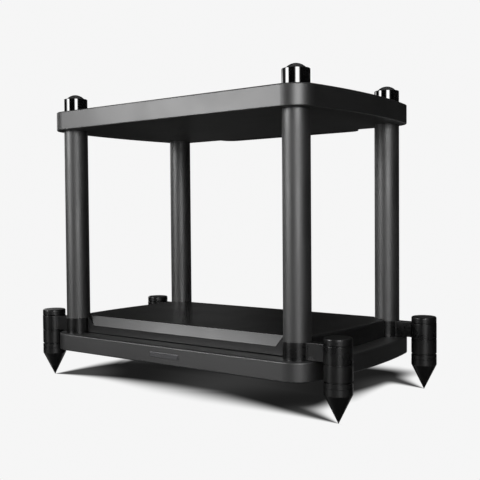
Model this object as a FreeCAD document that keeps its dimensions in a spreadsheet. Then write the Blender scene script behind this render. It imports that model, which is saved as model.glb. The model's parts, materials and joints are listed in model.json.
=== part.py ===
import FreeCAD
import Part
import Sketcher
import math
import os
from types import SimpleNamespace

# Speaker stand: two bowed boards on four columns, a deck on the lower board, and four outriggers whose
# spike feet are set in height by the knobs above them.
# Millimetres. X runs along the front, the front faces -Y, Z is up, and the spike tips stand on z = 0.
# The pieces are laid out round the middle of the boards and then moved forwards by half the depth of the
# rear rail, which puts the origin under the middle of the whole stand.

DIMENSIONS = {
    # boards: straight front and back, sides bowed outwards by side_bow
    "board_half_width": 259.5,
    "board_half_depth": 159.5,
    "side_bow": 17.1,
    "board_corner": 35,
    "board_round": 2,
    "top_bottom": 407.4,
    "top_thick": 30,
    "base_bottom": 50.6,
    "base_thick": 26.8,
    # deck: the boards' bow set inwards, with round notches for the columns
    "deck_inset": 29,
    "deck_half_depth": 127.2,
    "deck_thick": 27.8,
    "deck_round": 3.5,
    "deck_under_bevel": 1.5,
    "notch_radius": 21.3,
    "bevel_height": 14.8,
    "bevel_setback": 6.5,
    "bevel_top_half": 194,
    "bevel_low_half": 181,
    "deck_screw_x": 150,
    "deck_screw_y": 85,
    # columns and what clamps them
    "column_x": 217,
    "column_y": 127.4,
    "column_radius": 19,
    "column_wall": 2,
    "plug_length": 12,
    "rod_radius": 6,
    "rod_clearance": 0.3,
    "rod_low": 52,
    "rod_high": 453,
    "fit_gap": 0.05,
    # domed caps, standing in a shallow seat in the top board
    "seat_depth": 0.6,
    "seat_gap": 0.3,
    "cap_height": 22.2,
    "cap_rim": 0.8,
    "dome_radius": 14.8,
    "dome_rise": 7.3,
    "cap_hole_top": 455,
    # nuts and washers under the base
    "sink_radius": 15,
    "sink_depth": 14,
    "washer_radius": 12,
    "washer_thick": 2.5,
    "nut_flats": 19,
    "nut_thick": 9.5,
    # outriggers
    "hub_radius": 19.7,
    "hub_height": 24,
    "spigot_height": 5,
    "foot_offset": 62.3,
    "boss_lift": 0.5,
    "arm_lift": 1,
    "arm_half_width": 6.8,
    "arm_fillet": 2.3,
    "casting_round": 0.7,
    "boss_web": 8,
    "boss_bore": 12,
    # foot: barrel, knob, ring and spike
    "foot_radius": 19,
    "foot_gap": 0.3,
    "foot_bevel": 0.7,
    "barrel_low": 54.7,
    "neck_top": 88.5,
    "knob_thick": 9.6,
    "knob_radius": 18.8,
    "knob_round": 2.4,
    "stem_radius": 9,
    "stem_low": 89.5,
    "ring_low": 91.5,
    "ring_thick": 1.2,
    "ring_radius": 11.3,
    "ring_groove": 8.2,
    "ring_gap": 4,
    "socket_flats": 8.1,
    "socket_top": 108.8,
    "cone_height": 38,
    "tip_radius": 0.2,
    "turned_line": 47.6,
    "turned_line_size": 0.4,
    "shank_radius": 5,
    "shank_top": 87,
    "hex_flats": 7.9,
    "hex_top": 108.4,
    # rail along the rear edge of the top board, level with its underside
    "rail_half_length": 143,
    "rail_depth": 27,
    "rail_thick": 12,
    "rail_corner": 22,
    "rail_round": 1,
    "rail_screw_spacing": 95,
    # screws
    "screw_radius": 2.1,
    "screw_head": 4.2,
    "screw_sink": 2.2,
    "rail_screw_length": 50,
    "deck_screw_length": 32,
    "deck_screw_sink": 6,
}

CORNERS = {"fl": (-1, -1), "fr": (1, -1), "bl": (-1, 1), "br": (1, 1)}
NEAR = 1e-4


class Size:
    """A length in mm together with the sheet formula that gives it."""

    def __init__(self, value, formula):
        self.value = float(value)
        self.formula = formula

    def __add__(self, other):
        other = as_size(other)
        return Size(self.value + other.value, f"({self.formula} + {other.formula})")

    def __sub__(self, other):
        other = as_size(other)
        return Size(self.value - other.value, f"({self.formula} - {other.formula})")

    def __mul__(self, other):
        other = as_size(other)
        return Size(self.value * other.value, f"({self.formula} * {other.formula})")

    def __truediv__(self, other):
        other = as_size(other)
        return Size(self.value / other.value, f"({self.formula} / {other.formula})")

    def __neg__(self):
        return self * -1


def as_size(number):
    """Take a plain number as a size, and a size as it is."""
    if isinstance(number, Size):
        return number
    return Size(number, f"({number!r})")


def square_root(area):
    """The square root of a size, in value and in formula."""
    return Size(math.sqrt(area.value), f"sqrt({area.formula})")


doc = FreeCAD.newDocument("speaker_stand")
sheet = doc.addObject("Spreadsheet::Sheet", "dims")
for row, (alias, number) in enumerate(DIMENSIONS.items(), start=1):
    sheet.set(f"A{row}", alias)
    sheet.set(f"B{row}", str(number))
    sheet.setAlias(f"B{row}", alias)
doc.recompute()

d = SimpleNamespace(**{name: Size(number, f"dims.{name}") for name, number in DIMENSIONS.items()})
ZERO = as_size(0)

# Sizes worked out from the driving ones
side_radius = (d.board_half_depth * d.board_half_depth + d.side_bow * d.side_bow) / (d.side_bow * 2)
base_top = d.base_bottom + d.base_thick
top_top = d.top_bottom + d.top_thick
hub_top = base_top + d.hub_height
tube_radius = d.column_radius - d.column_wall
rod_hole = d.rod_radius + d.rod_clearance
foot_x = d.column_x + d.foot_offset
boss_low = base_top + d.boss_lift
knob_low = hub_top + d.foot_gap
spike_top = d.barrel_low - d.foot_gap
forwards = d.rail_depth / 2


# Sketches
def origin_plane(body, role):
    """The body's own origin plane of that role."""
    return next(plane for plane in body.Origin.OriginFeatures if plane.Role == role)


def new_sketch(body, name, role="XY_Plane", height=ZERO):
    """A sketch on one of the body's origin planes, lifted by height along its normal."""
    sketch = body.newObject("Sketcher::SketchObject", f"{body.Label}_{name}")
    sketch.AttachmentSupport = [(origin_plane(body, role), "")]
    sketch.MapMode = "FlatFace"
    sketch.setExpression("AttachmentOffset.Base.z", height.formula)
    return sketch


def name_constraint(sketch, index, name, length):
    """Name a constraint of a sketch and bind it to a size."""
    sketch.renameConstraint(index, name)
    sketch.setExpression(f"Constraints.{name}", length.formula)


def hold_point(sketch, geometry, vertex, point, name):
    """Hold one vertex of a sketch at a point given by two sizes."""
    for direction, length in zip("XY", point):
        rule = Sketcher.Constraint(f"Distance{direction}", -1, 1, geometry, vertex, length.value)
        name_constraint(sketch, sketch.addConstraint(rule), f"{name}{direction}", length)


def as_vector(point):
    """A sketch point, given by two sizes, as a vector."""
    return FreeCAD.Vector(point[0].value, point[1].value, 0)


def outward_arc(start, end, radius):
    """The shorter anticlockwise arc from start to end with that radius."""
    chord = end - start
    to_left = FreeCAD.Vector(-chord.y, chord.x, 0).normalize()
    centre = (start + end) / 2 + to_left * math.sqrt(radius**2 - (chord.Length / 2) ** 2)
    first = math.atan2(start.y - centre.y, start.x - centre.x)
    last = math.atan2(end.y - centre.y, end.x - centre.x)
    if last < first:
        last += 2 * math.pi
    circle = Part.Circle(centre, FreeCAD.Vector(0, 0, 1), radius)
    return Part.ArcOfCircle(circle, first, last)


def draw_outline(sketch, corners, arcs=None):
    """Draw a closed outline through the corners, anticlockwise. arcs gives the radius of each edge that
    bows outwards, by the number of the corner where it starts."""
    arcs = arcs or {}
    for number, corner in enumerate(corners):
        start = as_vector(corner)
        end = as_vector(corners[(number + 1) % len(corners)])
        if number in arcs:
            sketch.addGeometry(outward_arc(start, end, arcs[number].value), False)
        else:
            sketch.addGeometry(Part.LineSegment(start, end), False)
    for number, corner in enumerate(corners):
        before = (number - 1) % len(corners)
        sketch.addConstraint(Sketcher.Constraint("Coincident", before, 2, number, 1))
        hold_point(sketch, number, 1, corner, f"corner{number}_")
    for number, radius in arcs.items():
        rule = Sketcher.Constraint("Radius", number, radius.value)
        name_constraint(sketch, sketch.addConstraint(rule), f"bow{number}", radius)


def draw_circles(sketch, centres, radius):
    """Draw circles of one radius round the centres."""
    for number, centre in enumerate(centres):
        circle = Part.Circle(as_vector(centre), FreeCAD.Vector(0, 0, 1), radius.value)
        geometry = sketch.addGeometry(circle, False)
        hold_point(sketch, geometry, 3, centre, f"centre{number}_")
        rule = Sketcher.Constraint("Radius", geometry, radius.value)
        name_constraint(sketch, sketch.addConstraint(rule), f"radius{number}", radius)


def rectangle(low, high):
    """The four corners of a rectangle, anticlockwise."""
    return [low, (high[0], low[1]), high, (low[0], high[1])]


def hexagon(across_flats):
    """The six corners of a regular hexagon round the origin."""
    turns = [math.radians(60 * number) for number in range(6)]
    corner_radius = across_flats / math.sqrt(3)
    return [(corner_radius * math.cos(turn), corner_radius * math.sin(turn)) for turn in turns]


# Features
def new_body(label):
    """An empty body whose label names its piece."""
    return doc.addObject("PartDesign::Body", label)


def put(body, x, y, z, rotation=FreeCAD.Rotation()):
    """Place a body, turned by that rotation, at a place told from the middle of the boards."""
    spot = (x, y - forwards, z)
    body.Placement = FreeCAD.Placement(FreeCAD.Vector(*[length.value for length in spot]), rotation)
    for axis, length in zip("xyz", spot):
        body.setExpression(f"Placement.Base.{axis}", length.formula)
    return body


def pad(body, sketch, length):
    """Raise a sketch upwards."""
    feature = body.newObject("PartDesign::Pad", f"{sketch.Label}_pad")
    feature.Profile = sketch
    feature.setExpression("Length", length.formula)
    doc.recompute()


def pocket(body, sketch, depth=None):
    """Cut a sketch into the body along its plane's normal, right through where no depth is given."""
    doc.recompute()
    before = body.Shape.Volume
    feature = body.newObject("PartDesign::Pocket", f"{sketch.Label}_cut")
    feature.Profile = sketch
    feature.Reversed = True
    if depth is None:
        feature.Type = "ThroughAll"
    else:
        feature.setExpression("Length", depth.formula)
    doc.recompute()
    if body.Shape.Volume > before - NEAR:
        raise RuntimeError(f"{sketch.Label} cuts nothing")


def dress(body, kind, amount, wanted):
    """Round (Fillet) or bevel (Chamfer) the edges of the body that are wanted."""
    doc.recompute()
    base = body.Tip
    names = [f"Edge{n}" for n, edge in enumerate(base.Shape.Edges, start=1) if wanted(edge)]
    feature = body.newObject(f"PartDesign::{kind}", f"{body.Label}_{kind.lower()}")
    feature.Base = (base, names)
    feature.setExpression("Radius" if kind == "Fillet" else "Size", amount.formula)
    doc.recompute()


def turned(label, profile, arcs=None):
    """A piece turned about its own Z axis from half of its section, given as radius and height."""
    body = new_body(label)
    sketch = new_sketch(body, "section", "XZ_Plane")
    draw_outline(sketch, profile, arcs)
    feature = body.newObject("PartDesign::Revolution", f"{label}_turning")
    feature.Profile = sketch
    feature.ReferenceAxis = (sketch, ["V_Axis"])
    feature.Angle = 360
    doc.recompute()
    return body


def tube_section(inner, outer, length):
    """Half the section of a plain tube."""
    return rectangle((inner, ZERO), (outer, length))


# Choosing edges
def rim(radius, *heights):
    """Wants the circles of that radius at those heights."""

    def wanted(edge):
        if edge.Degenerated or not isinstance(edge.Curve, Part.Circle):
            return False
        if abs(edge.Curve.Radius - radius.value) > NEAR:
            return False
        return any(abs(edge.Curve.Center.z - height.value) < NEAR for height in heights)

    return wanted


def flat_at(*heights):
    """Wants the edges that lie level at one of those heights."""

    def wanted(edge):
        box = edge.BoundBox
        return box.ZLength < NEAR and any(abs(box.ZMin - height.value) < NEAR for height in heights)

    return wanted


def upright(edge):
    """Wants the straight edges that stand on end."""
    box = edge.BoundBox
    return box.XLength < NEAR and box.YLength < NEAR


# Boards
def bowed_outline(half_width, half_depth, radius):
    """Corners and arcs of a board with straight front and back and bowed sides."""
    bow = radius - square_root(radius * radius - half_depth * half_depth)
    end = half_width - bow
    corners = rectangle((-end, -half_depth), (end, half_depth))
    return corners, {1: radius, 3: radius}


def board(label, thick):
    """A board with its four upright corners rounded and its rims softened."""
    body = new_body(label)
    sketch = new_sketch(body, "outline")
    draw_outline(sketch, *bowed_outline(d.board_half_width, d.board_half_depth, side_radius))
    pad(body, sketch, thick)
    dress(body, "Fillet", d.board_corner, upright)
    dress(body, "Fillet", d.board_round, flat_at(ZERO, thick))
    return body


def column_axes():
    """Where the four column axes stand in plan."""
    return [(d.column_x * side, d.column_y * end) for side, end in CORNERS.values()]


def drill(body, name, centres, radius, low=ZERO, depth=None):
    """Round holes upwards from the height low."""
    sketch = new_sketch(body, name, height=low)
    draw_circles(sketch, centres, radius)
    pocket(body, sketch, depth)


def drill_from_rear(body, name, centres, radius, rear, depth=None):
    """Round holes forwards from a rear face that stands at y = rear."""
    sketch = new_sketch(body, name, "XZ_Plane", -rear)
    draw_circles(sketch, centres, radius)
    pocket(body, sketch, depth)


def rail_screw_places():
    """Where the screws of the rail stand on its rear face, as x and height above its underside."""
    return [(d.rail_screw_spacing * step, d.rail_thick / 2) for step in (-1, 0, 1)]


def deck_screw_places():
    """Where the screws of the deck stand in plan."""
    rows = (-1, 1)
    return [(d.deck_screw_x * step, d.deck_screw_y * end) for step in (-1, 0, 1) for end in rows]


def make_top_board():
    """The board that carries the speaker, with a shallow seat for each domed cap."""
    body = board("top_board", d.top_thick)
    drill(body, "rod_holes", column_axes(), rod_hole)
    seat_floor = d.top_thick - d.seat_depth
    drill(body, "cap_seats", column_axes(), d.column_radius + d.seat_gap, seat_floor)
    screw_depth = d.rail_screw_length - d.rail_depth + 1
    rear = d.board_half_depth
    drill_from_rear(body, "rail_screw_holes", rail_screw_places(), d.screw_radius, rear, screw_depth)
    return put(body, ZERO, ZERO, d.top_bottom)


def make_base_board():
    """The lower board, sunk from below for the nuts and for the screws of the deck."""
    body = board("base_board", d.base_thick)
    drill(body, "rod_holes", column_axes(), rod_hole)
    drill(body, "nut_sinks", column_axes(), d.sink_radius, ZERO, d.sink_depth)
    drill(body, "deck_screw_holes", deck_screw_places(), d.screw_radius)
    drill(body, "head_sinks", deck_screw_places(), d.screw_head + 0.4, ZERO, d.deck_screw_sink)
    return put(body, ZERO, ZERO, d.base_bottom)


def cut_stopped_bevel(body):
    """Slope the front top edge of the deck back between two slanted ends."""
    above = as_size(2)
    grow = (d.bevel_height + above) / d.bevel_height
    spread = (d.bevel_top_half - d.bevel_low_half) * grow
    top_half = d.bevel_low_half + spread
    before = body.Shape.Volume
    wedge = body.newObject("PartDesign::SubtractiveWedge", "deck_front_bevel")
    limits = {
        "Xmin": -top_half,
        "Xmax": top_half,
        "X2min": -d.bevel_low_half,
        "X2max": d.bevel_low_half,
        "Ymin": -above,
        "Ymax": d.bevel_height,
        "Zmin": as_size(-5),
        "Zmax": d.bevel_setback * grow,
        "Z2min": as_size(-5),
        "Z2max": ZERO,
    }
    for name, length in limits.items():
        setattr(wedge, name, length.value)
        wedge.setExpression(name, length.formula)
    face_down = FreeCAD.Rotation(FreeCAD.Vector(1, 0, 0), -90)
    spot = FreeCAD.Vector(0, -d.deck_half_depth.value, d.deck_thick.value)
    wedge.Placement = FreeCAD.Placement(spot, face_down)
    wedge.setExpression("Placement.Base.y", (-d.deck_half_depth).formula)
    wedge.setExpression("Placement.Base.z", d.deck_thick.formula)
    doc.recompute()
    if body.Shape.Volume > before - NEAR:
        raise RuntimeError("the stopped bevel cuts nothing")


def make_deck():
    """The inner board on the base: notched round the columns, bevelled along the front."""
    body = new_body("deck_board")
    sketch = new_sketch(body, "outline")
    half_width = d.board_half_width - d.deck_inset
    deck_radius = side_radius - d.deck_inset
    draw_outline(sketch, *bowed_outline(half_width, d.deck_half_depth, deck_radius))
    pad(body, sketch, d.deck_thick)
    drill(body, "notches", column_axes(), d.notch_radius)
    top_edges = flat_at(d.deck_thick)

    def side_or_back(edge):
        middle = edge.BoundBox.Center
        long_edge = edge.Length > 4 * d.notch_radius.value
        return top_edges(edge) and long_edge and middle.y > -d.notch_radius.value

    dress(body, "Fillet", d.deck_round, side_or_back)
    dress(body, "Chamfer", d.deck_under_bevel, flat_at(ZERO))
    cut_stopped_bevel(body)
    screw_depth = d.deck_screw_length + d.deck_screw_sink - d.base_thick + 1
    drill(body, "screw_holes", deck_screw_places(), d.screw_radius, ZERO, screw_depth)
    return put(body, ZERO, ZERO, base_top)


# Columns
def make_column(tag, x, y):
    """The steel tube between hub and top board."""
    section = tube_section(tube_radius, d.column_radius, d.top_bottom - hub_top)
    return put(turned(f"column_{tag}", section), x, y, hub_top)


def make_plug(tag, x, y):
    """The plug in a column's upper end, which centres the tube on its rod."""
    section = tube_section(rod_hole, tube_radius - d.fit_gap, d.plug_length)
    return put(turned(f"column_plug_{tag}", section), x, y, d.top_bottom - d.plug_length)


def make_rod(tag, x, y):
    """The tie rod through base, hub, column and top board."""
    length = d.rod_high - d.rod_low
    body = turned(f"tie_rod_{tag}", rectangle((ZERO, ZERO), (d.rod_radius, length)))
    dress(body, "Chamfer", as_size(1), rim(d.rod_radius, ZERO, length))
    return put(body, x, y, d.rod_low)


def make_cap(tag, x, y):
    """The domed cap that screws on to the rod and clamps the top board."""
    shoulder = d.cap_height + d.seat_depth
    peak = shoulder + d.dome_rise
    seat = top_top - d.seat_depth
    hole_top = d.cap_hole_top - seat
    hole_radius = d.rod_radius + d.fit_gap
    sphere = (d.dome_radius * d.dome_radius + d.dome_rise * d.dome_rise) / (d.dome_rise * 2)
    section = [
        (hole_radius, ZERO),
        (d.column_radius, ZERO),
        (d.column_radius, shoulder),
        (d.dome_radius, shoulder),
        (ZERO, peak),
        (ZERO, hole_top + hole_radius / 2),
        (hole_radius, hole_top),
    ]
    body = turned(f"top_cap_{tag}", section, {3: sphere})
    dress(body, "Fillet", d.cap_rim, rim(d.column_radius, shoulder))
    return put(body, x, y, seat)


def make_washer(tag, x, y):
    """The washer between nut and base board."""
    section = tube_section(rod_hole, d.washer_radius, d.washer_thick)
    sink_top = d.base_bottom + d.sink_depth
    return put(turned(f"washer_{tag}", section), x, y, sink_top - d.washer_thick)


def make_nut(tag, x, y):
    """The nut on the rod's lower end."""
    body = new_body(f"nut_{tag}")
    sketch = new_sketch(body, "hexagon")
    draw_outline(sketch, hexagon(d.nut_flats))
    pad(body, sketch, d.nut_thick)
    drill(body, "bore", [(ZERO, ZERO)], d.rod_radius + d.fit_gap)
    below_washer = d.base_bottom + d.sink_depth - d.washer_thick - d.nut_thick
    return put(body, x, y, below_washer)


# Outriggers
def make_outrigger(tag, x, y, side):
    """One casting: a hub under the column, a short arm and a boss over the foot."""
    body = new_body(f"outrigger_{tag}")
    hub_axis = (ZERO, ZERO)
    foot_axis = (d.foot_offset, ZERO)
    hub = new_sketch(body, "hub")
    draw_circles(hub, [hub_axis], d.hub_radius)
    pad(body, hub, d.hub_height)
    boss = new_sketch(body, "boss", height=d.boss_lift)
    draw_circles(boss, [foot_axis], d.foot_radius)
    arm = new_sketch(body, "arm", height=d.arm_lift)
    draw_outline(arm, rectangle((ZERO, -d.arm_half_width), (d.foot_offset, d.arm_half_width)))
    pad(body, arm, d.hub_height - d.arm_lift)
    pad(body, boss, d.hub_height - d.boss_lift)

    def arm_corner(edge):
        return upright(edge) and abs(abs(edge.BoundBox.Center.y) - d.arm_half_width.value) < NEAR

    dress(body, "Fillet", d.arm_fillet, arm_corner)
    dress(body, "Fillet", d.casting_round, flat_at(d.hub_height))
    spigot = new_sketch(body, "spigot", height=d.hub_height)
    draw_circles(spigot, [hub_axis], tube_radius - d.fit_gap)
    pad(body, spigot, d.spigot_height)
    drill(body, "rod_hole", [hub_axis], rod_hole)
    drill(body, "stem_hole", [foot_axis], d.stem_radius + d.fit_gap)
    drill(body, "boss_bore", [foot_axis], d.boss_bore, ZERO, d.hub_height - d.boss_web)
    half_turn = FreeCAD.Rotation(FreeCAD.Vector(0, 0, 1), 180)
    return put(body, x, y, base_top, FreeCAD.Rotation() if side > 0 else half_turn)


# Feet
def make_barrel(tag, x, y):
    """The threaded sleeve under the boss, with a neck that sits in the boss."""
    shoulder = boss_low - d.barrel_low
    section = [
        (d.shank_radius + d.fit_gap, ZERO),
        (d.foot_radius, ZERO),
        (d.foot_radius, shoulder),
        (d.boss_bore - d.fit_gap, shoulder),
        (d.boss_bore - d.fit_gap, d.neck_top - d.barrel_low),
        (d.shank_radius + d.fit_gap, d.neck_top - d.barrel_low),
    ]
    body = turned(f"foot_barrel_{tag}", section)
    dress(body, "Chamfer", d.foot_bevel, rim(d.foot_radius, ZERO, shoulder))
    return put(body, x, y, d.barrel_low)


def make_knob(tag, x, y):
    """The knob on the boss. Its stem runs in the boss and drives the spike's hexagon."""
    shoulder = knob_low - d.stem_low
    ring_low = d.ring_low - d.stem_low
    ring_high = ring_low + d.ring_thick
    section = [
        (ZERO, ZERO),
        (d.stem_radius, ZERO),
        (d.stem_radius, ring_low),
        (d.ring_groove, ring_low),
        (d.ring_groove, ring_high),
        (d.stem_radius, ring_high),
        (d.stem_radius, shoulder),
        (d.knob_radius, shoulder),
        (d.knob_radius, shoulder + d.knob_thick),
        (ZERO, shoulder + d.knob_thick),
    ]
    body = turned(f"foot_knob_{tag}", section)
    dress(body, "Fillet", d.knob_round, rim(d.knob_radius, shoulder + d.knob_thick))
    dress(body, "Chamfer", d.foot_bevel, rim(d.knob_radius, shoulder))
    socket = new_sketch(body, "socket")
    draw_outline(socket, hexagon(d.socket_flats))
    pocket(body, socket, d.socket_top - d.stem_low)
    return put(body, x, y, d.stem_low)


def make_ring(tag, x, y):
    """The open retaining ring in the stem's groove, under the web of the boss."""
    inner = d.ring_groove + d.fit_gap
    body = turned(f"knob_ring_{tag}", tube_section(inner, d.ring_radius, d.ring_thick - d.fit_gap * 2))
    gap = new_sketch(body, "gap")
    half_gap = d.ring_gap / 2
    draw_outline(gap, rectangle((ZERO, -half_gap), (d.ring_radius * 2, half_gap)))
    pocket(body, gap)
    return put(body, x, y, d.ring_low + d.fit_gap)


def make_spike(tag, x, y):
    """The spike: cone, cylinder with one turned line, threaded shank and driving hexagon."""
    line_low = d.turned_line - d.turned_line_size
    line_high = d.turned_line + d.turned_line_size
    section = [
        (ZERO, ZERO),
        (d.tip_radius, ZERO),
        (d.foot_radius, d.cone_height),
        (d.foot_radius, line_low),
        (d.foot_radius - d.turned_line_size, d.turned_line),
        (d.foot_radius, line_high),
        (d.foot_radius, spike_top),
        (d.shank_radius, spike_top),
        (d.shank_radius, d.shank_top),
        (ZERO, d.shank_top),
    ]
    body = turned(f"spike_{tag}", section)
    dress(body, "Chamfer", d.foot_bevel, rim(d.foot_radius, spike_top))
    drive = new_sketch(body, "drive", height=d.shank_top)
    draw_outline(drive, hexagon(d.hex_flats))
    pad(body, drive, d.hex_top - d.shank_top)
    return put(body, x, y, ZERO)


# Rear rail and screws
def make_rear_rail():
    """The rail on the rear edge of the top board, its far corners rounded in plan."""
    body = new_body("rear_rail")
    sketch = new_sketch(body, "outline")
    draw_outline(sketch, rectangle((-d.rail_half_length, ZERO), (d.rail_half_length, d.rail_depth)))
    pad(body, sketch, d.rail_thick)

    def behind_joint(edge):
        return edge.BoundBox.Center.y > NEAR

    def far_corner(edge):
        return upright(edge) and behind_joint(edge)

    def outer_rim(edge):
        return flat_at(ZERO, d.rail_thick)(edge) and behind_joint(edge)

    dress(body, "Fillet", d.rail_corner, far_corner)
    dress(body, "Fillet", d.rail_round, outer_rim)
    drill_from_rear(body, "screw_holes", rail_screw_places(), d.screw_radius, d.rail_depth)
    head_hole = d.screw_head + 0.4
    drill_from_rear(body, "head_sinks", rail_screw_places(), head_hole, d.rail_depth, d.screw_sink)
    return put(body, ZERO, d.board_half_depth, d.top_bottom)


def make_screw(label, spot, length, rotation=FreeCAD.Rotation()):
    """A countersunk screw with a socket for a hexagon key. It points up unless it is turned."""
    radius = d.screw_radius - d.fit_gap
    section = [
        (ZERO, ZERO),
        (d.screw_head, ZERO),
        (radius, d.screw_sink),
        (radius, length - radius),
        (ZERO, length),
    ]
    body = turned(label, section)
    key = new_sketch(body, "key")
    draw_outline(key, hexagon(radius * 1.2))
    pocket(body, key, d.screw_sink * 0.7)
    return put(body, *spot, rotation)


def group(label, pieces):
    """Identical fasteners as one node of separate solids."""
    node = doc.addObject("Part::Compound", label)
    node.Links = pieces
    return node


def make_rail_screws():
    """The screws of the rail, driven forwards with their heads in its rear face."""
    forward = FreeCAD.Rotation(FreeCAD.Vector(1, 0, 0), 90)
    rear = d.board_half_depth + d.rail_depth
    pieces = []
    for number, (x, height) in enumerate(rail_screw_places()):
        spot = (x, rear, d.top_bottom + height)
        pieces.append(make_screw(f"rail_screw_{number}", spot, d.rail_screw_length, forward))
    return group("rear_rail_screws", pieces)


def make_deck_screws():
    """The screws that hold the deck down, their heads sunk in the base."""
    low = d.base_bottom + d.deck_screw_sink - d.screw_sink
    pieces = []
    for number, (x, y) in enumerate(deck_screw_places()):
        pieces.append(make_screw(f"deck_screw_{number}", (x, y, low), d.deck_screw_length))
    return group("deck_screws", pieces)


nodes = [make_top_board(), make_base_board(), make_deck(), make_rear_rail()]
nodes += [make_rail_screws(), make_deck_screws()]
washers = []
nuts = []
for tag, (side, end) in CORNERS.items():
    x = d.column_x * side
    y = d.column_y * end
    foot = foot_x * side
    nodes += [make_column(tag, x, y), make_plug(tag, x, y), make_rod(tag, x, y), make_cap(tag, x, y)]
    nodes.append(make_outrigger(tag, x, y, side))
    nodes += [make_barrel(tag, foot, y), make_knob(tag, foot, y)]
    nodes += [make_ring(tag, foot, y), make_spike(tag, foot, y)]
    washers.append(make_washer(tag, x, y))
    nuts.append(make_nut(tag, x, y))
nodes += [group("base_washers", washers), group("base_nuts", nuts)]
doc.recompute()

failed = [thing.Label for thing in doc.Objects if "Invalid" in thing.State or "Error" in thing.State]
failed += [node.Label for node in nodes if node.Shape.isNull() or not node.Shape.isValid()]
if failed:
    raise RuntimeError("failed: " + ", ".join(failed))

os.makedirs("parts", exist_ok=True)
for node in nodes:
    node.Shape.exportStep(f"parts/{node.Label}.step")
    print(f"{node.Label:24s} {len(node.Shape.Solids)} solids {node.Shape.Volume / 1000:9.2f} cm3")
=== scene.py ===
# %% [markdown]
# # Dressing a low, wide speaker stand
#
# The real stand is two thick black boards held apart by four tubes, with a deck board between the tubes and
# an arm at each corner that carries a spiked foot. The packed model already has every solid piece. This
# lesson photographs it: a camera, a dark studio with three soft lamps, a white floor with a shadow on it, a
# finish for every piece, and the few things that a solid model leaves plain, which are screw threads, nut
# chamfers, the fine steps of the turned feet and a bare badge plate.

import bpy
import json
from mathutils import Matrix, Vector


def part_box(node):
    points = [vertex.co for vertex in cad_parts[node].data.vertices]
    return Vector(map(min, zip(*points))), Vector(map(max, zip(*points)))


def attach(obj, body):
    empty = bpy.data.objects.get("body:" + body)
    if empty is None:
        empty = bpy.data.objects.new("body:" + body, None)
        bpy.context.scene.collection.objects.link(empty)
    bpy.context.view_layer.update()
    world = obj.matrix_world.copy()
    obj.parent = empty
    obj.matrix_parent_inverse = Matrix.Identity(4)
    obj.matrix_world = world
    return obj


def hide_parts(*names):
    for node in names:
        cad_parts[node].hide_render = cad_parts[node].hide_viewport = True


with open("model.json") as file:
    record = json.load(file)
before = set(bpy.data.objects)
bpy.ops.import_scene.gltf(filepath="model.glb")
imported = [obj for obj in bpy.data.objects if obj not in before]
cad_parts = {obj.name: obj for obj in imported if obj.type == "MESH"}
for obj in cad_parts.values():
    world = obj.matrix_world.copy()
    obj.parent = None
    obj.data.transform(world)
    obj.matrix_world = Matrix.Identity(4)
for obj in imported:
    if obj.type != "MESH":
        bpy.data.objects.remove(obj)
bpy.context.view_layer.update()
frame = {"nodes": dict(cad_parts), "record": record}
print("pieces loaded:", len(frame["nodes"]))

# %% [markdown]
# ## The camera
#
# The photograph looks at the stand from the right of its front, from just above the height of its middle. A
# camera can be placed by eye, but here the edges of the boards, tubes and feet were used to work out where
# it must have stood, which way it turned and how long its lens was, so the picture lines up with the photo.
# The turn is built from three plain directions: ahead, level to the right, and down.

# %% Camera
import json
import math

import bpy
import numpy as np
from mathutils import Matrix, Vector

YAW, PITCH, ROLL = (math.radians(angle) for angle in (37.723, 1.819, 0.466))
CAMERA_SPOT = Vector((0.80411, -1.02264, 0.26898))  # metres
LENS_LENGTH, SENSOR_WIDTH = 60.06, 36.0  # millimetres
ahead = Vector((-math.sin(YAW) * math.cos(PITCH), math.cos(YAW) * math.cos(PITCH), -math.sin(PITCH)))
level = Vector((math.cos(YAW), math.sin(YAW), 0))
upright_down = ahead.cross(level)
right = level * math.cos(ROLL) + upright_down * math.sin(ROLL)
down = upright_down * math.cos(ROLL) - level * math.sin(ROLL)

lens = bpy.data.cameras.new("camera")
lens.sensor_width = SENSOR_WIDTH
lens.lens = LENS_LENGTH
camera = bpy.data.objects.new("camera", lens)
turn = Matrix((right, -down, -ahead)).transposed().to_4x4()
camera.matrix_world = Matrix.Translation(CAMERA_SPOT) @ turn
bpy.context.scene.collection.objects.link(camera)
bpy.context.scene.camera = camera
bpy.context.scene.view_settings.view_transform = "Standard"
print("camera distance, m:", round(camera.matrix_world.translation.length, 3))

# %% [markdown]
# ## A bench for wiring nodes
#
# The studio, the floor and every finish are node trees, and they are all wired in the same few ways. Nodes
# can be dragged about by hand, but a small helper keeps the wiring readable: it adds a node, fills its
# sockets with numbers or with other nodes' outputs, and has short names for arithmetic, smooth ramps and
# tints.


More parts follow.
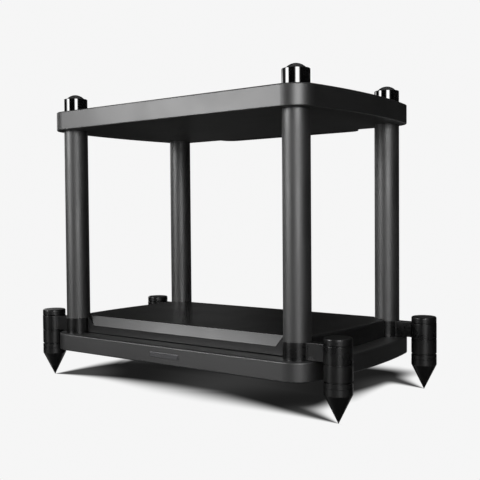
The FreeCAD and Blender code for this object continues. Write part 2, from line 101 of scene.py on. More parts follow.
# %% Node bench
class Bench:
    """A node tree to wire on: adds nodes, fills their sockets and joins them."""

    def __init__(self, tree):
        self.tree = tree

    def feed(self, value, socket):
        """Joins an output to a socket, or writes a plain value into it."""
        if isinstance(value, bpy.types.NodeSocket):
            self.tree.links.new(value, socket)
        else:
            socket.default_value = value

    def add(self, kind, fill=None, **settings):
        """One node of that kind, with its settings made and the named sockets filled."""
        node = self.tree.nodes.new("ShaderNode" + kind)
        for setting, value in settings.items():
            setattr(node, setting, value)
        for socket, value in (fill or {}).items():
            self.feed(value, node.inputs[socket])
        return node

    def math(self, operation, *terms):
        """The result of one arithmetic step."""
        return self.add("Math", dict(enumerate(terms)), operation=operation).outputs[0]

    def ease(self, value, low, high, start=0.0, end=1.0):
        """A smooth climb from start to end while value goes from low to high."""
        fill = {"Value": value, "From Min": low, "From Max": high, "To Min": start, "To Max": end}
        return self.add("MapRange", fill, interpolation_type="SMOOTHSTEP").outputs[0]

    def tint(self, value, dark, pale):
        """A colour that goes from dark to pale while value goes from 0 to 1."""
        ramp = self.add("ValToRGB", {0: value})
        ramp.color_ramp.elements[0].color = (*dark, 1)
        ramp.color_ramp.elements[1].color = (*pale, 1)
        return ramp.outputs["Color"]


print("bench tools:", [tool for tool in vars(Bench) if not tool.startswith("_")])

# %% [markdown]
# ## The lamps
#
# Black lacquer has almost no colour of its own, so what shows is what it mirrors. On the photo's domed caps
# two clean white bands stand on a dark ground: two tall soft lamps in an otherwise dark room. The bands sit
# differently on each cap, and lines of sight from three caps cross where the lamps stood, less than two
# metres off. Area lamps would do, but a glowing sheet can fade towards its edges as a cloth-fronted lamp
# does. It goes on below the ground as a faint glow, its image in a polished floor. Only mirror rays see it.
# A third, weaker lamp stands far round on the left, where the photo's view hardly shows it, so that the
# back has bands of light on it too.

# %% Glow of a lamp
CORE_REACH, RIGHT_REACH = 0.18, 0.62  # metres from the middle of a sheet


def lamp_glow(name, level, floor_glow, left_reach, foot, head):
    """A glow that is full in the middle of a sheet and fades towards its edges.

    Across, it fades from the core's reach to the left reach and the right reach. Upwards, it climbs from
    the floor's glow to full between its foot heights, and fades out between its head heights."""
    look = bpy.data.materials.new(name)
    look.use_nodes = True
    cloth = Bench(look.node_tree)
    cloth.tree.nodes.clear()
    place = cloth.add("SeparateXYZ", {0: cloth.add("TexCoord").outputs["Object"]}).outputs
    across = cloth.math("MULTIPLY", cloth.ease(place["X"], -left_reach, -CORE_REACH),
                        cloth.ease(place["X"], CORE_REACH, RIGHT_REACH, 1.0, 0.0))
    rising = cloth.ease(place["Z"], *foot, floor_glow, 1.0)
    fading = cloth.ease(place["Z"], *head, level, 0.0)
    strength = cloth.math("MULTIPLY", across, cloth.math("MULTIPLY", rising, fading))
    glow = cloth.add("Emission", {"Strength": strength})
    cloth.add("OutputMaterial", {"Surface": glow.outputs[0]})
    print(name, "glow nodes:", len(cloth.tree.nodes))
    return look


# %% Lamp sheets
SHEET_DEPTH = 1.2  # metres that a sheet goes on below the ground
TALL_LAMP = {"foot": (0.2, 0.65), "head": (0.78, 0.98)}
SHORT_LAMP = {"foot": (0.1, 0.55), "head": (0.71, 0.85)}


def lamp_sheet(name, left, right, left_reach, level, floor_glow, heights):
    """An upright sheet whose middle stands between two spots on the ground, seen in reflections alone."""
    left, right = Vector(left), Vector(right)
    top = heights["head"][1]
    mesh = bpy.data.meshes.new(name)
    low_edge = [(-left_reach, 0, -SHEET_DEPTH), (RIGHT_REACH, 0, -SHEET_DEPTH)]
    high_edge = [(RIGHT_REACH, 0, top), (-left_reach, 0, top)]
    mesh.from_pydata(low_edge + high_edge, [], [(0, 1, 2, 3)])
    sheet = bpy.data.objects.new(name, mesh)
    sheet.location = ((left + right) / 2).to_3d()
    sheet.rotation_euler.z = math.atan2(right.y - left.y, right.x - left.x)
    bpy.context.scene.collection.objects.link(sheet)
    for rays in ("camera", "diffuse", "transmission", "volume_scatter", "shadow"):
        setattr(sheet, f"visible_{rays}", False)
    mesh.materials.append(lamp_glow(name, level, floor_glow, left_reach, **heights))
    print(name, "distance from the stand, m:", round(sheet.location.length, 2))


lamp_sheet("left_lamp", (-0.970, -1.138), (-0.730, -1.907), left_reach=0.8, level=10.6, floor_glow=0.028,
           heights=TALL_LAMP)
lamp_sheet("right_lamp", (1.096, -1.564), (1.572, -0.971), left_reach=0.62, level=10.2, floor_glow=0.04,
           heights=TALL_LAMP)
lamp_sheet("back_lamp", (-1.482, 0.724), (-1.648, -0.058), left_reach=0.62, level=2.0, floor_glow=0.005,
           heights=SHORT_LAMP)

# %% [markdown]
# ## The room
#
# The world holds the rest of the light and knows what kind of ray asks. Mirror rays get a dark room with a
# pale ceiling, a pale floor and two dim stripes of backdrop, which show as thin edges of light on the tubes.
# The floor is left out towards the rear, because the stand's right side and the underside of its top board
# look that way and are dark in the photo. One strip of it stays almost straight behind, for the flat rear
# faces. A white room in every ray would be simpler, but then black lacquer turns grey.

# %% Directions in the room
world = bpy.data.worlds.new("studio")
bpy.context.scene.world = world
world.use_nodes = True
room = Bench(world.node_tree)
room.tree.nodes.clear()
towards = room.add("SeparateXYZ", {0: room.add("TexCoord").outputs["Generated"]}).outputs
compass = room.math("ARCTAN2", towards["X"], room.math("MULTIPLY", towards["Y"], -1.0))
behind = room.math("ARCTAN2", room.math("MULTIPLY", towards["X"], -1.0), towards["Y"])
height = room.math("ARCSINE", towards["Z"])


def between(angle, low, high, soft):
    """1 between two angles in degrees and 0 outside, half way at each of them, with soft edges."""
    low, high, soft = map(math.radians, (low, high, soft))
    return room.math("MULTIPLY", room.ease(angle, low - soft, low + soft),
                     room.ease(angle, high - soft, high + soft, 1.0, 0.0))


print("nodes that measure directions:", len(room.tree.nodes))

# %% What mirror rays see
CEILING_RISE, CEILING_LEVELS = (0.5, 1.2), (0.012, 0.28)  # radians above level, and light there
DARK_REAR, FLOOR_HEIGHTS, FLOOR_LEVEL = (-75, 85, 10), (-42, -18, 6), 0.4  # degrees: from, to, softness
REAR_STRIP, STRIP_HEIGHTS, STRIP_LEVEL = (-2, 14, 5), (-42, -10, 6), 0.7
BRIGHT_STRIPE, DIM_STRIPE = (-143, -136, 3), (-165, -151, 3)
BRIGHT_LEVEL, DIM_LEVEL = 0.08, 0.04
ceiling = room.ease(height, *CEILING_RISE, *CEILING_LEVELS)
open_floor = room.math("MULTIPLY_ADD", between(behind, *DARK_REAR), -FLOOR_LEVEL, FLOOR_LEVEL)
pale_floor = room.math("MULTIPLY", open_floor, between(height, *FLOOR_HEIGHTS))
rear_strip = room.math("MULTIPLY", between(behind, *REAR_STRIP), between(height, *STRIP_HEIGHTS))
pale_floor = room.math("MULTIPLY_ADD", rear_strip, STRIP_LEVEL, pale_floor)
backdrop = room.math("MULTIPLY", between(compass, *BRIGHT_STRIPE), BRIGHT_LEVEL)
backdrop = room.math("MULTIPLY_ADD", between(compass, *DIM_STRIPE), DIM_LEVEL, backdrop)
around_it = room.math("ADD", pale_floor, room.math("ADD", ceiling, backdrop))
print("nodes with what is mirrored:", len(room.tree.nodes))

# %% [markdown]
# Diffuse rays get a soft fill from overhead. The camera, and any ray through glass, sees plain white. One
# background could serve them all, but it would either grey the lacquer or darken the picture's ground, so a
# Light Path node sorts the rays.

# %% What each ray gets
WHITE = (0.92, 0.92, 0.92, 1)
FILL_RISE, FILL_LEVELS = (0.2, 1.2), (0.0, 2.0)  # radians above level, and light there
ray = room.add("LightPath").outputs
mirrored = room.math("MULTIPLY", ray["Is Glossy Ray"], around_it)
fill = room.math("MULTIPLY", ray["Is Diffuse Ray"], room.ease(height, *FILL_RISE, *FILL_LEVELS))
studio_light = room.add("Background", {"Strength": room.math("ADD", mirrored, fill)})
white_light = room.add("Background", {"Color": WHITE, "Strength": 1.0})
sees_white = room.math("MAXIMUM", ray["Is Camera Ray"], ray["Is Transmission Ray"])
mixed = room.add("MixShader", {0: sees_white, 1: studio_light.outputs[0], 2: white_light.outputs[0]})
room.add("OutputWorld", {"Surface": mixed.outputs[0]})
print("room nodes:", len(room.tree.nodes))

# %% [markdown]
# ## The floor and its shadow
#
# In the photo the floor is clipped to the same white as the background. Only the ground under the stand is
# dark: a soft-edged core, pushed back and to the left as the light falls, and thin tails that sharpen as
# they run out to the spike tips. An Ambient Occlusion node could measure this, but it loses the tails. So
# the floor works out how far a point is from an outline made of a rounded box and four wedges, and the edge
# of the shade is as soft as the nearest tip is far.

# %% Floor
FLOOR_RADIUS, RIM_POINTS = 30.0, 128
turns = np.linspace(0, 2 * np.pi, RIM_POINTS, endpoint=False)
rim = FLOOR_RADIUS * np.stack([np.cos(turns), np.sin(turns), np.zeros_like(turns)], axis=1)
floor_mesh = bpy.data.meshes.new("floor")
floor_mesh.from_pydata(rim.tolist(), [], [list(range(len(rim)))])
floor = bpy.data.objects.new("floor", floor_mesh)
bpy.context.scene.collection.objects.link(floor)
floor_look = bpy.data.materials.new("floor")
floor_look.use_nodes = True
floor_mesh.materials.append(floor_look)
print("floor radius, m:", round(float(rim.max()), 1))

# %% Shadow outline
CORE_MIDDLE, CORE_HALF, CORE_ROUNDING = (-0.0275, 0.057), (0.2445, 0.171), 0.06
ground = Bench(floor_look.node_tree)
ground.tree.nodes.clear()
spot = ground.add("SeparateXYZ", {0: ground.add("TexCoord").outputs["Object"]}).outputs
past_side, past_end = (
    ground.math("SUBTRACT", ground.math("ABSOLUTE", ground.math("SUBTRACT", spot[axis], middle)), half)
    for axis, middle, half in zip("XY", CORE_MIDDLE, CORE_HALF)
)
outline = ground.math("SMOOTH_MAX", past_side, past_end, CORE_ROUNDING)


def tail(tip, heading, half_angle, reach):
    """Distance from a wedge with its point at the tip, and the straight distance from the tip.

    With along and across measured from the tip, the first is |across| cos(half angle) - along sin(half
    angle), or how far along is past the reach if that is more. The second is the root of their squares."""
    east = ground.math("SUBTRACT", spot["X"], tip[0])
    north = ground.math("SUBTRACT", spot["Y"], tip[1])
    cosine, sine = math.cos(math.radians(heading)), math.sin(math.radians(heading))
    half_angle = math.radians(half_angle)
    along = ground.math("MULTIPLY_ADD", east, cosine, ground.math("MULTIPLY", north, sine))
    across = ground.math("MULTIPLY_ADD", east, -sine, ground.math("MULTIPLY", north, cosine))
    across = ground.math("MULTIPLY", ground.math("ABSOLUTE", across), math.cos(half_angle))
    wedge = ground.math("MULTIPLY_ADD", along, -math.sin(half_angle), across)
    wedge = ground.math("MAXIMUM", wedge, ground.math("SUBTRACT", along, reach))
    far = ground.math("SQRT", ground.math("MULTIPLY_ADD", east, east, ground.math("MULTIPLY", north, north)))
    return wedge, far


print("nodes of the shadow's core:", len(ground.tree.nodes))

# %% Tails to the spike tips
TAILS = {"fl": (54, 35, 0.13), "fr": (160, 14, 0.27), "bl": (20, 30, 0.13), "br": (154, 15, 0.13)}
TAIL_BLEND, FARTHEST = 0.03, 1.0
EDGE_GROWTH, SHARPEST_EDGE, SOFTEST_EDGE = 0.18, 0.0015, 0.042
PALE_TIPS = (0.04, 0.13, 0.06, 0.012)  # two distances from a tip, and the shade at each
PALER_MIDDLE = (0.15, 0.3, 0.0, 0.025)  # the same, added on
nearest = FARTHEST
for corner, (heading, half_angle, reach) in TAILS.items():
    low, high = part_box(f"spike_{corner}")
    wedge, far = tail((low + high) / 2, heading, half_angle, reach)
    outline = ground.math("SMOOTH_MIN", outline, wedge, TAIL_BLEND)
    nearest = ground.math("MINIMUM", nearest, far)
softness = ground.math("MULTIPLY_ADD", nearest, EDGE_GROWTH, SHARPEST_EDGE)
softness = ground.math("MINIMUM", softness, SOFTEST_EDGE)
darkest = ground.math("ADD", ground.ease(nearest, *PALE_TIPS), ground.ease(nearest, *PALER_MIDDLE))
shade = ground.ease(ground.math("DIVIDE", outline, softness), -1.0, 1.0, darkest, WHITE[0])
print("shadow nodes:", len(ground.tree.nodes))

# %% [markdown]
# A real floor is the same for every ray, but one that is white enough for the picture would light the black
# boards from below. So each kind of ray meets its own floor. The camera sees the shade that was just worked
# out. Diffuse rays meet a mid-grey matt floor, which sends a little light back up. Mirror rays go through
# it to the room's own floor and the lamps' glow. From below it is clear, so that the stand's underside can
# be looked at.

# %% Floor as each ray sees it
MID_GREY = (0.5, 0.5, 0.5, 1)
seen = ground.add("Emission", {"Color": shade, "Strength": 1.0})
matt = ground.add("BsdfDiffuse", {"Color": MID_GREY})
clear = ground.add("BsdfTransparent")
path = ground.add("LightPath").outputs
lit = ground.add("MixShader", {0: path["Is Glossy Ray"], 1: matt.outputs[0], 2: clear.outputs[0]})
shown = ground.add("MixShader", {0: path["Is Camera Ray"], 1: lit.outputs[0], 2: seen.outputs[0]})
under_side = ground.math("MULTIPLY", path["Is Camera Ray"], ground.add("NewGeometry").outputs["Backfacing"])
one_way = ground.add("MixShader", {0: under_side, 1: shown.outputs[0], 2: clear.outputs[0]})
ground.add("OutputMaterial", {"Surface": one_way.outputs[0]})
print("floor nodes:", len(ground.tree.nodes))

# %% [markdown]
# ## What paint does to a surface
#
# Sprayed paint is never dead flat. It dries with a faint ripple a few millimetres long, called orange peel,
# with a finer grain in it, and it is a little glossier in some patches than in others. Each sprayed paint
# on the stand has this in its own measure. It could be wired anew in each finish, but a node group does it
# once for all. It gives a height for a bump and a slow patch value for colour and roughness.


# %% Paint skin
def new_effect(name, inputs, outputs):
    """An empty node group with named sockets, as its bench, its inputs' outlets and its outputs' sockets."""
    tree = bpy.data.node_groups.new(name, "ShaderNodeTree")
    for label, kind in inputs.items():
        tree.interface.new_socket(label, in_out="INPUT", socket_type=kind)
    for label in outputs:
        tree.interface.new_socket(label, in_out="OUTPUT", socket_type="NodeSocketFloat")
    entry = tree.nodes.new("NodeGroupInput")
    leaving = tree.nodes.new("NodeGroupOutput")
    return Bench(tree), entry.outputs, leaving.inputs


PLACE_AND_SCALES = {"Where": "NodeSocketVector", "Grain": "NodeSocketFloat", "Patches": "NodeSocketFloat"}
DUST_FINENESS, DUST_SHARE = 5.0, 0.2
PATCH_RANGE = (0.3, 0.7)  # most of the noise lies in here
inside, given, result = new_effect("paint_skin", PLACE_AND_SCALES, ("Height", "Patch"))
ripple = inside.add("TexNoise", {"Vector": given["Where"], "Scale": given["Grain"], "Detail": 1.0})
dust_scale = inside.math("MULTIPLY", given["Grain"], DUST_FINENESS)
dust = inside.add("TexNoise", {"Vector": given["Where"], "Scale": dust_scale, "Detail": 2.0})
inside.feed(inside.math("MULTIPLY_ADD", dust.outputs[0], DUST_SHARE, ripple.outputs[0]), result["Height"])
cloud = inside.add("TexNoise", {"Vector": given["Where"], "Scale": given["Patches"], "Detail": 3.0})
inside.feed(inside.ease(cloud.outputs[0], *PATCH_RANGE), result["Patch"])
paint_skin = inside.tree
print("effect:", paint_skin.name, "with", len(paint_skin.nodes), "nodes")

# %% [markdown]
# ## What a lathe does to a surface
#
# The knobs, barrels and spikes were turned on a lathe, which leaves fine rings round the axis that paint
# only half hides. Rings could be modelled, but they are too fine for that. All of these pieces stand
# upright, so a ring is a band of one height, and noise read along height alone draws them. The group also
# mixes in a slow patch value.

# %% Lathe rings
RING_SHARE, CLOUD_SHARE = 0.5, 0.5
inside, given, result = new_effect("lathe_rings", PLACE_AND_SCALES, ("Height", "Patch"))
along = inside.add("SeparateXYZ", {0: given["Where"]}).outputs["Z"]
rings = inside.add("TexNoise", {"W": along, "Scale": given["Grain"], "Detail": 3.0}, noise_dimensions="1D")
inside.feed(rings.outputs[0], result["Height"])
cloud = inside.add("TexNoise", {"Vector": given["Where"], "Scale": given["Patches"], "Detail": 3.0})
clouded = inside.math("MULTIPLY", cloud.outputs[0], CLOUD_SHARE)
mingled = inside.math("MULTIPLY_ADD", rings.outputs[0], RING_SHARE, clouded)
inside.feed(inside.ease(mingled, *PATCH_RANGE), result["Patch"])
lathe_rings = inside.tree
print("effect:", lathe_rings.name, "with", len(lathe_rings.nodes), "nodes")

# %% [markdown]
# ## Painted finishes
#
# A coat of black paint is a dark base under the gloss of its binder, which the Principled shader does with
# a dark colour and one reflection. What tells one black from another is how rough and how strong that
# reflection is. A separate clear coat could be laid over it, but one reflection is enough here. The
# roughness of each paint was set by how far the lamps spread on it in the photo. The index of refraction is
# set above a plain varnish's 1.5, so that lamps of a modest level give the photo's brightness.

# %% Painted finish helper
VARNISH = 1.5  # index of refraction


def painted(name, effect, grain, patches, tints, roughness, ripple, index=VARNISH, metal=0.0):
    """A finish whose effect group drives colour, roughness and a bump; ripple is its depth in metres.

    The index of refraction and the share of metal are the same all over, so the shader holds them."""
    look = bpy.data.materials.new(name)
    look.use_nodes = True
    wiring = Bench(look.node_tree)
    shader = look.node_tree.nodes["Principled BSDF"]
    shader.inputs["IOR"].default_value = index
    shader.inputs["Metallic"].default_value = metal
    where = wiring.add("TexCoord").outputs["Object"]
    coat = wiring.add("Group", node_tree=effect)
    for socket, value in {"Where": where, "Grain": grain, "Patches": patches}.items():
        wiring.feed(value, coat.inputs[socket])
    wiring.feed(wiring.tint(coat.outputs["Patch"], *tints), shader.inputs["Base Color"])
    wiring.feed(wiring.ease(coat.outputs["Patch"], 0.0, 1.0, *roughness), shader.inputs["Roughness"])
    relief = wiring.add("Bump", {"Height": coat.outputs["Height"], "Distance": ripple, "Strength": 1.0})
    wiring.feed(relief.outputs[0], shader.inputs["Normal"])
    print("finish:", name)
    return look


# %% [markdown]
# The boards are lacquered to an even satin. The top board's front mirrors the left lamp almost whole, while
# the base board's front sits lower and catches only its blurred end. The deck is a little glossier, and the
# rail at the back is matt.

# %% Board lacquer
MICRON = 1e-6
BOARD_TINTS = ((0.009, 0.009, 0.0093), (0.012, 0.012, 0.0123))
board_lacquer = painted("board_lacquer", paint_skin, grain=380.0, patches=9.0, tints=BOARD_TINTS,
                        roughness=(0.44, 0.49), ripple=4 * MICRON, index=2.2)
deck_lacquer = painted("deck_lacquer", paint_skin, grain=420.0, patches=11.0, tints=BOARD_TINTS,
                       roughness=(0.28, 0.33), ripple=4 * MICRON, index=1.76)
rail_matt = painted("rail_matt", paint_skin, grain=900.0, patches=14.0, tints=BOARD_TINTS,
                    roughness=(0.5, 0.6), ripple=20 * MICRON)

# %% [markdown]
# The tubes have a softer, powdery satin: the lamps spread to broad bands on them. The arms are castings
# under the same paint as the feet, with a faint grain.

# %% Tube and casting paint
TUBE_TINTS = ((0.013, 0.013, 0.0134), (0.017, 0.017, 0.0174))
ARM_TINTS = ((0.005, 0.005, 0.0052), (0.008, 0.008, 0.0082))
column_satin = painted("column_satin", paint_skin, grain=1100.0, patches=16.0, tints=TUBE_TINTS,
                       roughness=(0.48, 0.53), ripple=6 * MICRON, index=2.3)
casting_satin = painted("casting_satin", paint_skin, grain=600.0, patches=30.0, tints=ARM_TINTS,
                        roughness=(0.26, 0.32), ripple=4 * MICRON, index=1.76)

# %% [markdown]
# Knobs, barrels and spikes are turned parts in satin black. The caps are turned too, but their paint is a
# thick, deep gloss that hides the rings and mirrors the lamps sharply, so its reflection is strong and
# nearly smooth.

# %% Turned paint
CAP_TINTS = ((0.0035, 0.0035, 0.0037), (0.005, 0.005, 0.0052))
foot_satin = painted("foot_satin", lathe_rings, grain=2500.0, patches=40.0, tints=ARM_TINTS,
                     roughness=(0.29, 0.35), ripple=1.5 * MICRON, index=1.76)
gloss_black = painted("gloss_black", paint_skin, grain=260.0, patches=30.0, tints=CAP_TINTS,
                      roughness=(0.05, 0.08), ripple=4 * MICRON, index=1.96)

# %% [markdown]
# ## Hidden finishes
#
# The tie rods, nuts, washers, screws and rings are plain zinc-plated steel, a pale metal with a cloudy
# bloom. The plugs in the tubes are moulded plastic with a fine grain. They hardly show, and one grey would
# do for all of them, but a part that is reused may be looked at from below or taken apart. The paint's skin
# serves for both at other scales.

# %% Steel and plastic
STEEL_TINTS = ((0.42, 0.42, 0.43), (0.58, 0.58, 0.6))
PLUG_TINTS = ((0.014, 0.014, 0.014), (0.022, 0.022, 0.022))
plain_steel = painted("plain_steel", paint_skin, grain=700.0, patches=160.0, tints=STEEL_TINTS,
                      roughness=(0.26, 0.42), ripple=6 * MICRON, metal=1.0)
plug_plastic = painted("plug_plastic", paint_skin, grain=2600.0, patches=50.0, tints=PLUG_TINTS,
                       roughness=(0.5, 0.62), ripple=30 * MICRON)

# %% [markdown]
# ## Finishes on to the packed pieces
#
# Every packed piece names a slot in its record, and a table says which finish each slot gets. Finishes
# could be put on piece by piece, but one loop over the record does them all and misses none. The deck has
# the boards' slot and its own glossier lacquer.

# %% Finishes on to the packed pieces
FINISHES = {
    "board_lacquer": board_lacquer,
    "column_satin": column_satin,
    "gloss_black": gloss_black,
    "casting_satin": casting_satin,
    "foot_satin": foot_satin,
    "rail_matt": rail_matt,
    "plain_steel": plain_steel,
    "plug_plastic": plug_plastic,
}
for subpart in frame["record"]["subparts"]:
    node = frame["nodes"][subpart["node"]]
    node.data.materials.clear()
    node.data.materials.append(FINISHES[subpart["material_slot"]])
frame["nodes"]["deck_board"].data.materials[0] = deck_lacquer

# %% [markdown]
# ## Rings into a skin
#
# Every new piece here is a stack of rings: at each step along the piece there is one closed ring of points,
# and neighbouring rings are joined by four-sided faces. A lathe or a sweep could be done with modifiers,
# but arrays of rings give exact control of threads and chamfers. The stack is closed by a flat face at each
# end, or, for a piece with a hole, by joining its last ring back to its first.

# %% Skin helper
CREASE = math.radians(32)


def skin(name, stacks, body, look, holed=False):
    """One mesh from stacks of rings, each an array of rings by points by x, y, z in metres, facing out.

    Point (i, j) is joined to (i, j + 1), (i + 1, j + 1) and (i + 1, j), counting j round and round."""
    points, faces, start = [], [], 0
    for rings in stacks:
        count = start + np.arange(rings.shape[0] * rings.shape[1]).reshape(rings.shape[:2])
        near = count if holed else count[:-1]
        far = np.roll(count, -1, axis=0) if holed else count[1:]
        quads = np.stack([near, np.roll(near, -1, axis=1), np.roll(far, -1, axis=1), far], axis=-1)
        faces += quads.reshape(-1, 4).tolist()
        if not holed:
            faces += [count[0, ::-1].tolist(), count[-1].tolist()]
        points.append(rings.reshape(-1, 3))
        start += count.size
    mesh = bpy.data.meshes.new(name)
    mesh.from_pydata(np.concatenate(points).tolist(), [], faces)
    mesh.polygons.foreach_set("use_smooth", np.ones(len(faces), bool))
    mesh.set_sharp_from_angle(angle=CREASE)
    mesh.materials.append(look)
    piece = bpy.data.objects.new(name, mesh)
    bpy.context.scene.collection.objects.link(piece)
    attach(piece, body)
    print(name, "faces:", len(faces))
    return piece


# %% [markdown]
# ## Screw threads
#
# A spike climbs in its barrel on a coarse ten-millimetre thread, one and a half millimetres a turn, and a
# tie rod has a twelve-millimetre thread at each end. A thread is a groove whose depth depends on how far a
# point is along the axis less how far round it is. A texture could fake it, but the thread shows when a
# foot is wound down, so it is real relief: a right-hand helix with flat crests, straight flanks and flat
# roots.

# %% Thread relief
MM = 0.001
SPIKE_PITCH, ROD_PITCH = 1.5 * MM, 1.75 * MM
CREST_SHARE, ROOT_SHARE, DEPTH_SHARE = 0.125, 0.25, 0.613  # of the pitch


def thread_depth(along, angle, pitch):
    """Depth of a right-hand thread under its crest, in metres.

    The phase is along / pitch - angle / 2 pi. Its distance from the nearest half turn goes through a flat
    crest of an eighth of the pitch, a straight flank, and a flat root of a quarter of the pitch."""
    phase = (along / pitch - angle / (2 * np.pi)) % 1.0
    from_crest = 2 * np.abs(phase - 0.5)
    flank = (from_crest - CREST_SHARE) / (1 - CREST_SHARE - ROOT_SHARE)
    return DEPTH_SHARE * pitch * np.clip(flank, 0, 1)


print("depth of a spike's thread, mm:", round(float(thread_depth(0.0, 0.0, SPIKE_PITCH)) / MM, 2))

# %% Rings round an axis
RING_POINTS = 72
around = np.linspace(0, 2 * np.pi, RING_POINTS, endpoint=False)[None, :]


def turned(radius, along, centre):
    """Rings round an upright axis: x, y = the centre + radius times the cosine and sine of the angle."""
    radius, along, angle = np.broadcast_arrays(radius, along, around)
    return np.stack([centre[0] + radius * np.cos(angle), centre[1] + radius * np.sin(angle), along], axis=-1)


def axis_of(node):
    """Where a round piece's upright axis stands, and its lowest and highest points."""
    low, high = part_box(node)
    return ((low.x + high.x) / 2, (low.y + high.y) / 2), low.z, high.z


def hexagon(half_flats):
    """Radius of a hexagon: half its width over flats, over the cosine of the angle from the nearest flat."""
    return half_flats / np.cos(around % (np.pi / 3) - np.pi / 6)


print("points in a ring:", around.size)

# %% [markdown]
# ## Spikes
#
# Each spike is a turned steel cone with a short cylinder above it, a fine turned groove round the cylinder,
# and a threaded shank that ends in a hexagon which the knob drives. A cone primitive would do for its tip
# alone, so the whole profile is turned. It follows the packed solid's, with a flat-bottomed groove, a step
# at the top of the cylinder that makes the photo's dark line, softened corners as a lathe tool leaves them,
# and the thread cut into the shank. Smooth shading would smear each corner over the whole cylinder, so a
# ring is added close to either side of it.

# %% Spikes
CORNERS = ("fl", "fr", "bl", "br")
SPIKE_PROFILE = np.array([
    (0.2, 0.0), (18.85, 37.7), (19.0, 38.2), (19.0, 47.0), (18.3, 47.2), (18.3, 47.9), (19.0, 48.1),
    (19.0, 53.2), (18.7, 53.5), (17.2, 53.6), (17.2, 54.4), (5.2, 54.4), (4.2, 55.2), (4.2, 55.8),
]) * MM
SHANK_RADIUS, SHANK_LEVELS = 5.0 * MM, np.arange(56.0, 86.5, 0.125)[:, None] * MM
HEX_HALF_FLATS, HEX_LEVELS = 3.95 * MM, np.array([87.0, 107.9, 108.4])[:, None] * MM
HEX_CHAMFER = np.array([0.0, 0.0, 0.5])[:, None] * MM
CORNER_REACH = 0.12 * MM
MOST_OF_A_STEP = 0.4


def cornered(profile):
    """A profile with a point added close to either side of each corner.

    Each added point is the corner plus a small share of the step to the corner after it or before it."""
    steps = np.diff(profile, axis=0)
    share = np.minimum(CORNER_REACH / np.linalg.norm(steps, axis=1, keepdims=True), MOST_OF_A_STEP)
    trios = np.stack([profile[:-1], profile[:-1] + share * steps, profile[1:] - share * steps], axis=1)
    return np.concatenate([trios.reshape(-1, 2), profile[-1:]])


def spike_rings(centre):
    """The spike from its tip upwards: the turned profile, the threaded shank, then the hexagon.

    The shank's radius is its crest's less the thread's depth, the hexagon's less a chamfer at its top."""
    profile = cornered(SPIKE_PROFILE)
    shank = SHANK_RADIUS - thread_depth(SHANK_LEVELS, around, SPIKE_PITCH)
    drive = hexagon(HEX_HALF_FLATS) - HEX_CHAMFER
    return np.concatenate([turned(profile[:, :1], profile[:, 1:], centre),
                           turned(shank, SHANK_LEVELS, centre),
                           turned(drive, HEX_LEVELS, centre)])


for corner in CORNERS:
    rings = spike_rings(axis_of(f"spike_{corner}")[0])
    spike = skin(f"threaded_spike_{corner}", [rings], f"foot_spike_{corner}", foot_satin)
    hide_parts(f"spike_{corner}")

# %% [markdown]
# ## Barrels
#
# A barrel is the sleeve between the arm and the spike. In the photo a dark line parts it from the piece
# above and a wider one from the spike below. Painted lines would not catch the light at their edges, so the
# barrel is turned again with a real step at each end. Its section runs up the outside, over the neck that
# sits in the arm, and back down the bore.

# %% Barrels
BARREL_SECTION = np.array([
    (5.25, 54.7), (17.2, 54.7), (17.2, 55.5), (18.7, 55.6), (19.0, 55.9), (19.0, 76.3), (18.7, 76.6),
    (17.4, 76.7), (17.4, 77.9), (11.85, 77.9), (11.85, 88.0), (11.35, 88.5), (5.75, 88.5), (5.25, 88.0),
]) * MM
section = cornered(BARREL_SECTION)
for corner in CORNERS:
    rings = turned(section[:, :1], section[:, 1:], axis_of(f"foot_barrel_{corner}")[0])
    barrel = skin(f"stepped_barrel_{corner}", [rings], "root", foot_satin, holed=True)
    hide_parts(f"foot_barrel_{corner}")

# %% [markdown]
# ## Tie rods
#
# A tie rod is a plain steel bar with a thread rolled on each end, one end in the domed cap and the other
# through the nut under the base board. It could be threaded all along, but rolled ends are the cheaper and
# more usual way. It is the same kind of ring stack, threaded for three centimetres from each end and
# chamfered where the thread starts.

# %% Tie rods
ROD_RADIUS, ROD_THREAD = 6.0 * MM, 30.1 * MM
ROD_LEVELS = np.concatenate([[0.0], np.arange(0.6, 30.0, 0.2), [30.2]]) * MM  # from either end
CHAMFER_REACH, CHAMFER_DEPTH = 0.5 * MM, 1.1 * MM


def rod_rings(centre, low, high):
    """The rod's radius less the thread's depth near each end, and less a chamfer at the very end."""
    levels = np.concatenate([low + ROD_LEVELS, high - ROD_LEVELS[::-1]])[:, None]
    from_end = np.minimum(levels - low, high - levels)
    groove = np.where(from_end < ROD_THREAD, thread_depth(levels, around, ROD_PITCH), 0.0)
    groove = np.where(from_end < CHAMFER_REACH, CHAMFER_DEPTH, groove)
    return turned(ROD_RADIUS - groove, levels, centre)


for corner in CORNERS:
    rings = rod_rings(*axis_of(f"tie_rod_{corner}"))
    rod = skin(f"threaded_rod_{corner}", [rings], "root", plain_steel)
    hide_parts(f"tie_rod_{corner}")

# %% [markdown]
# ## Nuts
#
# Under the base board four hexagon nuts sit in round sinks. What makes a nut look like one is the chamfer
# that cuts its corners into curved arcs. A boolean cut could make it, but it is simply the lesser of two
# radii at each point: the hexagon's, and that of a shallow cone which grows from each face. The section is
# carried round and joined back to itself through the bore.

# %% Nuts
NUT_HALF_FLATS, NUT_FACE_RADIUS = 9.5 * MM, 9.0 * MM
CHAMFER_STEPS = np.linspace(0, 2.0, 11) * MM
BORE_RADII = np.array([6.8, 6.05, 6.05, 6.8])[:, None] * MM
BORE_CHAMFER = 0.7 * MM


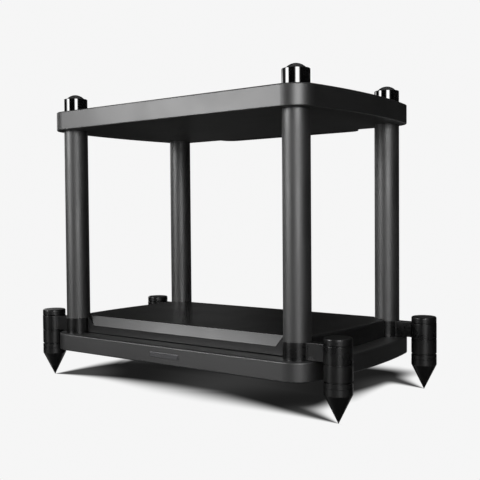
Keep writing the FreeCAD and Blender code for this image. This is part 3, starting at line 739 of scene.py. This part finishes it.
def nut_rings(centre, low, high):
    """Up the chamfered hexagon, across the top, down the bore, and back across the bottom.

    The cone's radius is the face's plus the height above the nearer face times the root of three."""
    thick = high - low
    rise = np.concatenate([CHAMFER_STEPS, thick - CHAMFER_STEPS[::-1]])[:, None]
    cone = NUT_FACE_RADIUS + math.sqrt(3) * np.minimum(rise, thick - rise)
    side = np.minimum(hexagon(NUT_HALF_FLATS), cone)
    bore_levels = low + np.array([thick, thick - BORE_CHAMFER, BORE_CHAMFER, 0.0])[:, None]
    return np.concatenate([turned(side, low + rise, centre), turned(BORE_RADII, bore_levels, centre)])


nut_low, nut_high = (end.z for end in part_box("base_nuts"))
nut_centres = [axis_of(f"tie_rod_{corner}")[0] for corner in CORNERS]
nuts = skin("chamfered_nuts", [nut_rings(centre, nut_low, nut_high) for centre in nut_centres], "root",
            plain_steel, holed=True)
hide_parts("base_nuts")

# %% [markdown]
# ## Bare badge plate
#
# A small bare metal plate sits near the middle of the base board's front. A box with a bevel would nearly
# do, but rounded outlines that shrink a little as they leave the board give it round corners too. Its face
# is brushed along its length: noise stretched a hundred times longer one way than the other.

# %% Brushed metal
STROKE_SCALE = (60, 60, 6000)
BADGE_TINTS, BADGE_ROUGHNESS = ((0.1, 0.1, 0.104), (0.3, 0.3, 0.31)), (0.34, 0.46)
badge_metal = bpy.data.materials.new("badge_metal")
badge_metal.use_nodes = True
wiring = Bench(badge_metal.node_tree)
shader = badge_metal.node_tree.nodes["Principled BSDF"]
where = wiring.add("TexCoord").outputs["Object"]
stretched = wiring.add("Mapping", {"Vector": where, "Scale": STROKE_SCALE})
strokes = wiring.add("TexNoise", {"Vector": stretched.outputs[0], "Scale": 1.0, "Detail": 4.0}).outputs[0]
wiring.feed(wiring.tint(strokes, *BADGE_TINTS), shader.inputs["Base Color"])
wiring.feed(wiring.ease(strokes, *PATCH_RANGE, *BADGE_ROUGHNESS), shader.inputs["Roughness"])
scratches = wiring.add("Bump", {"Height": strokes, "Distance": 4 * MICRON, "Strength": 1.0})
wiring.feed(scratches.outputs[0], shader.inputs["Normal"])
shader.inputs["Metallic"].default_value = 1.0
print("badge finish:", badge_metal.name)

# %% Badge plate
BADGE_HALF, BADGE_CORNER = (28.0 * MM, 3.8 * MM), 1.2 * MM
BADGE_SPOT = (5.0 * MM, 64.2 * MM)
BADGE_STEPS = np.array([(0.0, 0.0), (0.0, 0.45), (0.04, 0.6), (0.3, 0.78), (0.36, 0.8), (1.0, 0.8)]) * MM


def badge_rings(face):
    """Rounded oblongs: each corner is a quarter circle round a point set in from the corner by its radius.

    Ring k is drawn inwards by the first step value and stands out from the board by the second."""
    inset, lift = BADGE_STEPS[:, :1], BADGE_STEPS[:, 1:]
    corner = BADGE_CORNER - inset
    across = np.sign(np.cos(around)) * (BADGE_HALF[0] - BADGE_CORNER) + corner * np.cos(around)
    upward = np.sign(np.sin(around)) * (BADGE_HALF[1] - BADGE_CORNER) + corner * np.sin(around)
    outward = np.broadcast_to(face - lift, across.shape)
    return np.stack([BADGE_SPOT[0] + across, outward, BADGE_SPOT[1] + upward], axis=-1)


board_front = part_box("base_board")[0].y
skin("bare_badge_plate", [badge_rings(board_front)], "root", badge_metal)

# %% [markdown] New pieces can stand out past the packed model, as the badge does by less than a
# millimetre.
